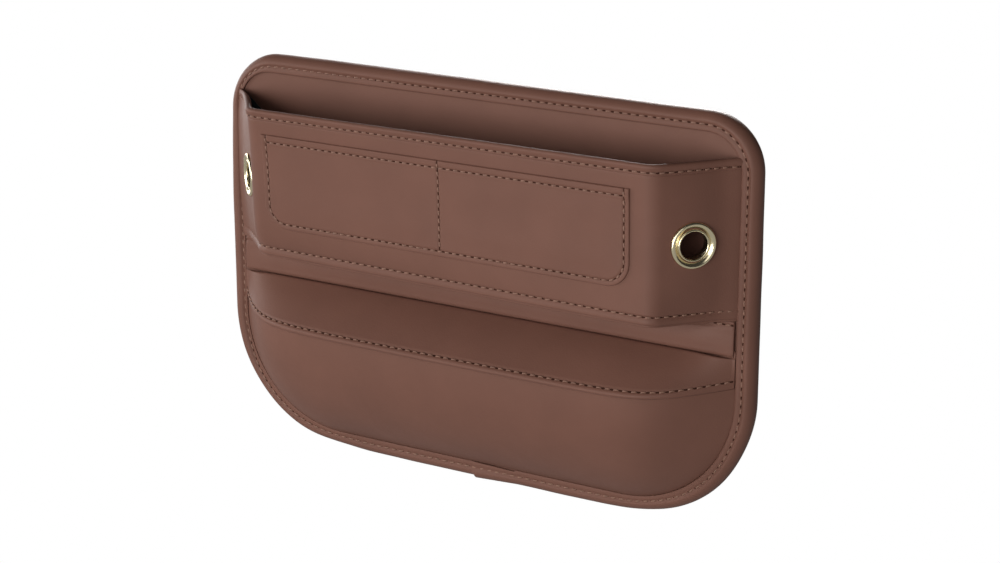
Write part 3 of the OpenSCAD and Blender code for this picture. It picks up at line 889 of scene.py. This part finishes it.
def flap_section(x):
    """Cross-section at x, as (depth, height): sewn strip, hanging front, rolled lower edge, inside. The flap
    is pressed flatter towards its ends."""
    free = 1 - 0.6 * float(ramp(abs(x), FLAP_HALF - 24, FLAP_HALF))
    pressed = 0.7 * (1 - free)
    lean = 2.1 * free
    sag = 0.25 * math.sin(3.1 * x / FLAP_HALF + 0.6) * free
    groove = 0.5 + 0.1 * math.cos(2 * math.pi * (x + FLAP_HALF) / PITCH)
    outer = [(FACE_D + 0.05, FLAP_TOP_Z - 0.1), (FACE_D + 0.9, FLAP_TOP_Z), (FACE_D + 1.7, FLAP_TOP_Z - 0.5)]
    for z in np.arange(FLAP_TOP_Z - 1.2, FLAP_SEW_Z - 1.6, -0.45):
        outer.append((FLAP_D - groove * float(bump(z, FLAP_SEW_Z, 0.8)), z))
    roll = 1.5 - pressed
    tall = 2 * roll
    bend_z = FLAP_ROLL_Z + tall
    for z in np.linspace(FLAP_SEW_Z - 2.2, bend_z + 0.3, 14):
        t = (FLAP_SEW_Z - z) / (FLAP_SEW_Z - bend_z - 0.3)
        puff = 0.9 * math.sin(math.pi * min(1, t * 1.05)) ** 0.8 * free
        outer.append((FLAP_D + (lean + sag) * t + puff - pressed * min(1, 3 * t), z))
    middle = FLAP_D + lean + sag - pressed - roll
    for a in np.radians(np.arange(12, 181, 14)):
        outer.append((middle + roll * math.cos(a), bend_z - tall * math.sin(a)))
    inner = []
    for z in np.linspace(bend_z + 0.4, 0.5, 8):
        down = (FLAP_SEW_Z - z) / (FLAP_SEW_Z - FLAP_ROLL_Z)
        inner.append((FACE_D + 0.25 + 0.9 * free * down, z))
    return np.array(outer + inner + [(FACE_D + 0.08, 2.0), (FACE_D + 0.05, 4.0)])


def build_flap():
    """The flap and its seam strip, one sheet that blends across the hinge, and its row of stitches."""
    half = FLAP_HALF
    middle = np.arange(-half + 1.25, half - 1, PITCH / 4)
    rings = []
    for x in np.concatenate([[-half, -half + 0.25], middle, [half - 0.25, half]]):
        sec = flap_section(x)
        if abs(x) > half - 0.1:
            centre = sec.mean(axis=0)
            sec = centre + (sec - centre) * 0.75
        rings.append(np.stack([np.full(len(sec), x), -sec[:, 0], sec[:, 1]], axis=1))
    flap = swept("flap_strip", np.array(rings), LEATHER, body=None, slot="leather")
    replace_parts(flap, "slot_flap", "flap_seam_strip")
    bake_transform(flap)
    line = [(x, -FLAP_D + 0.45, FLAP_SEW_Z) for x in np.arange(-half + 11, half, 1.0)]
    sew("flap_{}", "flap_thread", line, forwards, start=1.0, end=1.0)


# ---- Lower compartment ----

LOWER_HALF = HALF_W - BINDING_IN + 0.2
LOWER_DEPTH = 33.0
LOWER_END_Z = -27.3
LOWER_SAG = 5.7
RIDGE_POINTS = 281
RIDGE_REACH = 0.998
SEAM_D = FACE_D + 0.02


def to_right(x):
    """0 at the compartment's left end and 1 at its right end."""
    return 0.5 + 0.5 * np.tanh(np.asarray(x, float) / 60)


def ridge_share(x):
    """Depth of the ridge at a place across the width, from 0 at its ends to 1. The right end is squarer."""
    rise = (5.0 - 0.7 * to_right(x)) * np.maximum(0, 1 - np.abs(x) / LOWER_HALF)
    n = 2.5 + 1.5 * to_right(x)
    return rise / (1 + rise ** n) ** (1 / n)


def ridge_height(x, k):
    """Height of the ridge's stitch line. Its left end starts higher up."""
    inside = LOWER_HALF - np.abs(x)
    left = LOWER_END_Z + 2.1 - 7.8 * (1 - np.exp(-inside / 12))
    return to_right(x) * (LOWER_END_Z - LOWER_SAG * k) + (1 - to_right(x)) * left


def ridge_line(s):
    """Stitch line of the lower ridge, for s from -1 to 1, and its share of the full depth."""
    x = LOWER_HALF * np.sin(np.radians(90 * s))
    k = ridge_share(x)
    return np.stack([x, -RIM_T - LOWER_DEPTH * k, ridge_height(x, k)], axis=-1), k


def ridge_up(k):
    """Direction from the ridge's stitch line up to its crest: forwards where the ridge is deep."""
    return np.stack([0 * k, -0.8 * k, 0.5 + 0.5 * (1 - k)], axis=1)


def lower_edge(s):
    """The compartment's edge on the panel, from the ridge's left end round the bottom to its right end."""
    inset = BINDING_IN - 0.6
    w, h, r = HALF_W - inset, HALF_H - inset, BOTTOM_R - inset
    side, arc, flat = (LOWER_END_Z - 2.2) - (r - h), r * math.pi / 2, w - r
    d = np.abs(s) * (side + arc + flat)
    a = np.clip((d - flat) / arc, 0, 1) * math.pi / 2
    x = np.where(d < flat, d, flat + r * np.sin(a))
    z = np.where(d < flat, -h, r - h - r * np.cos(a)) + np.maximum(d - flat - arc, 0)
    return np.sign(s) * x, z


def build_lower_front():
    """The bulged front sheet from the ridge down to the rim, and the lining behind it."""
    s = np.linspace(-1, 1, RIDGE_POINTS) * RIDGE_REACH
    v = np.concatenate([[0, 0.012, 0.03], np.linspace(0.055, 0.93, 44), [0.95, 0.965, 0.978, 0.99, 0.997]])
    ridge, _ = ridge_line(s)
    ex, ez = lower_edge(s)
    x = ridge[:, 0:1] * (1 - v) + ex[:, None] * v
    z = (ridge[:, 2:3] - 1.9) * (1 - v) + ez[:, None] * v
    depth = np.maximum(-ridge[:, 1:2] - FACE_D - 1.6, 0)
    y = -FACE_D - depth * (1 - v ** 2.2) ** 0.8
    outer = np.stack([x, y, z], axis=2)
    n = normals_of(outer)
    if n[RIDGE_POINTS // 2, 20, 1] > 0:
        n = -n

    def layer(behind):
        grid = outer - n * behind
        grid[..., 1] = np.minimum(grid[..., 1], -SEAM_D)
        return grid

    inner = layer(SKIN_T)
    front = sheet_solid("lower_front", outer[:, ::-1], inner[:, ::-1], LEATHER, slot="leather")
    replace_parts(front, "lower_pocket_front")
    near, far = layer(SKIN_T + 0.1), layer(SKIN_T + 0.7)
    lining = sheet_solid("lower_lining", near[::4, ::-3], far[::4, ::-3], LINING, slot="lining")
    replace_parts(lining, "lower_pocket_lining")


def shelf_rows(ridge, k):
    """Rows of the shelf sheet: behind the flap, a shallow groove under the flap's lower edge and a low hump
    in front of it, the soft shelf, and the pinched ridge rolled over its stitch line."""
    x = ridge[:, 0]
    count = len(x)
    behind = np.full(count, -FACE_D - 0.9)
    rows = [np.stack([x, behind, np.full(count, FLAP_LOW_Z + z)], axis=1) for z in (4.0, 1.7, -0.3)]
    room = np.maximum(0.06, (-ridge[:, 1] - FACE_D - 1.9) / 9)
    share = room / (1 + room ** 3) ** (1 / 3)
    hump = share * (1 - 0.6 * ramp(np.abs(x), LOWER_HALF - 24, LOWER_HALF))
    for ahead, z in ((0.6, -0.2), (1.5, 0.0), (2.4, 0.55), (3.1, 1.15), (3.8, 1.5), (4.6, 1.6), (5.5, 1.35)):
        rows.append(np.stack([x, behind - ahead * share, FLAP_LOW_Z - 0.3 + (z + 0.3) * hump], axis=1))
    bend = rows[-1]
    for t in (0.04, 0.09, 0.16, 0.25, 0.35, 0.46, 0.57, 0.68, 0.78, 0.86, 0.92, 0.96):
        swell = math.sin(math.pi * t) * 1.1
        rows.append(bend + (ridge - bend) * t + np.stack([0 * k, -0.5 * swell * k, 0.87 * swell * k], axis=1))
    ahead = np.stack([0 * k, -0.45 * k, np.full(count, -0.88)], axis=1)
    groove = 0.12 * np.cos(2 * math.pi * np.arange(count) / 4)[:, None]
    rows.append(ridge + ridge_up(k) * (-0.55 - groove))
    rolled = [(0.6, -0.1), (1.3, 0.25), (2.2, 0.4), (3.0, 0.25), (3.5, -0.3)]
    rolled += [(3.6, -1.0), (3.2, -1.8), (2.4, -2.1), (1.4, -2.0)]
    return rows + [ridge + ahead * t + ridge_up(k) * lift for t, lift in rolled]


def build_shelf():
    """The shelf sheet. Its underside follows it down to the stitch line and then runs inside the ridge."""
    ridge, k = ridge_line(np.linspace(-1, 1, RIDGE_POINTS) * RIDGE_REACH)
    grid = np.array(shelf_rows(ridge, k)).transpose(1, 0, 2)
    sewn = grid.shape[1] - 10
    under = grid.copy()
    under[:, :3, 1] += 0.8
    under[:, 3:sewn + 1] += np.array([0, 0.5, -1.05])
    across = grid[:, -1] - grid[:, sewn]
    for j in range(1, 10):
        under[:, sewn + j] = grid[:, sewn] + np.array([0, 0.6, -1.3]) + across * j / 9 * 0.5
    shelf = sheet_solid("lower_shelf", grid, under, LEATHER, slot="leather")
    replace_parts(shelf, "lower_pocket_top")


def sew_lower_ridge():
    """The row of stitches along the pinched ridge."""
    line, k = ridge_line(np.sin(np.linspace(-1, 1, 400) * math.pi / 2) * 0.985)

    def up_at(places, tangents):
        share = ridge_share(places[:, 0])
        return unit(np.stack([0 * share, -0.6 - 0.4 * (1 - share), 0.8 * share + 0.1], axis=1))

    sew("lower_ridge_{}", "lower_ridge_thread", line - 0.3 * ridge_up(k), up_at, start=1.5, end=1.5)


# ---- Panel ----

def outline_ring(inset, depth):
    """Points round the outline at an inset and a depth."""
    base, nrm, _, _ = rounded_path(RIM_R, OUTLINE_STEP)
    p = base - nrm * (inset - RIM_R)
    return np.column_stack([p[:, 0], np.full(len(p), -depth), p[:, 1]])


def outline_sheet(name, node, insets, depth_of, back_y):
    """A sheet that fills the outline: rings whose depth varies near the edge, flat across the middle."""
    rings = [outline_ring(inset, depth_of(inset)) for inset in insets]
    n = len(rings[0])
    back = rings[0].copy()
    back[:, 1] = back_y
    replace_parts(swept(name, np.array([back] + rings), LEATHER, slot="leather"), node)


def build_panel():
    """Face and back cover, each eased down under the binding."""
    def face_depth(inset):
        return FACE_D - 0.25 + 0.25 * float(ramp(inset, 10, 20))

    def cover_depth(inset):
        return 0.35 - 0.35 * float(ramp(inset, BINDING_IN, BINDING_IN + 7))

    face_insets = (6.3, 9, 11, 13, 15.5, 19, 24)
    cover_insets = [BINDING_IN + more for more in (-0.3, 0.5, 2, 5, 9)]
    outline_sheet("panel_front_sheet", "panel_face", face_insets, face_depth, SKIN_T - FACE_D)
    outline_sheet("panel_back_sheet", "back_cover", cover_insets, cover_depth, -SKIN_T)


def build_padding():
    """The foam under the panel's face, with rounded edges."""
    lo, hi = box_mm("padding_foam")
    back, front = -hi[1], -lo[1]
    middle = rounded_path(RIM_R, OUTLINE_STEP)[0] * 0.5

    def middle_ring(depth):
        return np.column_stack([middle[:, 0], np.full(len(middle), -depth), middle[:, 1]])

    rim = ((7.4, back), (6.6, back + 0.8), (6.6, front - 1.6), (7.6, front - 0.5))
    rings = [middle_ring(back)] + [outline_ring(*place) for place in rim] + [middle_ring(front - 0.3)]
    foam = swept("panel_padding", np.array(rings), FOAM, slot="foam")
    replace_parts(foam, "padding_foam")


board = frame["nodes"]["stiffener_board"]
board.data.materials.clear()
board.data.materials.append(BOARD)

build_panel()
build_padding()
build_cord()
build_rim()
build_upper_pocket()
build_eyelets()
build_patch()
build_flap()
build_lower_front()
build_shelf()
sew_lower_ridge()


# ---- Stage ----

FLOOR_Z = -0.42
WORLD = 0.034
FLOOR_LIGHT = 0.33


def seen_white(nt, lit, output):
    """Shows plain white to the camera and gives the object only the soft light."""
    ray = nt.nodes.new("ShaderNodeLightPath")
    white = nt.nodes.new("ShaderNodeEmission")
    white.inputs["Strength"].default_value = 1.0
    mix = nt.nodes.new("ShaderNodeMixShader")
    nt.links.new(ray.outputs["Is Camera Ray"], mix.inputs["Fac"])
    nt.links.new(lit, mix.inputs[1])
    nt.links.new(white.outputs["Emission"], mix.inputs[2])
    nt.links.new(mix.outputs["Shader"], output.inputs["Surface"])


def build_stage():
    """A white floor and a white world that light the object only softly."""
    size = 12.0
    corners = [(x * size, y * size, FLOOR_Z) for x, y in ((-1, -1), (1, -1), (1, 1), (-1, 1))]
    mesh = bpy.data.meshes.new("floor")
    mesh.from_pydata(corners, [], [(0, 1, 2, 3)])
    floor = bpy.data.objects.new("floor", mesh)
    bpy.context.scene.collection.objects.link(floor)
    mat, nt, _, _ = new_material("floor_white")
    glow = nt.nodes.new("ShaderNodeEmission")
    glow.inputs["Strength"].default_value = FLOOR_LIGHT
    seen_white(nt, glow.outputs["Emission"], nt.nodes["Material Output"])
    floor.data.materials.append(mat)
    world = bpy.data.worlds.new("studio")
    world.use_nodes = True
    soft = world.node_tree.nodes["Background"]
    soft.inputs["Color"].default_value = (1, 1, 1, 1)
    soft.inputs["Strength"].default_value = WORLD
    seen_white(world.node_tree, soft.outputs["Background"], world.node_tree.nodes["World Output"])
    bpy.context.scene.world = world


def place_facing(name, data, target, azimuth, elevation, distance):
    """Puts a light or camera round a target, facing it. Azimuth is from the front towards +X, in degrees."""
    a, e = math.radians(azimuth), math.radians(elevation)
    toward = Vector((math.sin(a) * math.cos(e), -math.cos(a) * math.cos(e), math.sin(e)))
    obj = bpy.data.objects.new(name, data)
    obj.location = target + toward * distance
    obj.rotation_euler = (-toward).to_track_quat("-Z", "Y").to_euler()
    bpy.context.scene.collection.objects.link(obj)
    return obj


def area_light(name, azimuth, elevation, size, power):
    """A round soft light that faces the origin."""
    data = bpy.data.lights.new(name, "AREA")
    data.shape = "DISK"
    data.size = size
    data.energy = power
    place_facing(name, data, Vector(), azimuth, elevation, 2.1)


def build_camera():
    """A long lens, from the right and a little above."""
    data = bpy.data.cameras.new("camera")
    data.sensor_width = 36
    data.lens = 86.04
    target = Vector((0.01524, -0.012, 0.0048))
    bpy.context.scene.camera = place_facing("camera", data, target, 30.68, 17.36, 1.3246)


build_stage()
area_light("key", -65, 12, 1.2, 22)
area_light("side", -115, 5, 1.2, 11)
area_light("front", -5, 5, 1.4, 27.5)
area_light("fill", 25, 15, 1.6, 8)
area_light("back", 200, 25, 0.8, 56)
build_camera()
bpy.context.scene.view_settings.view_transform = "Standard"
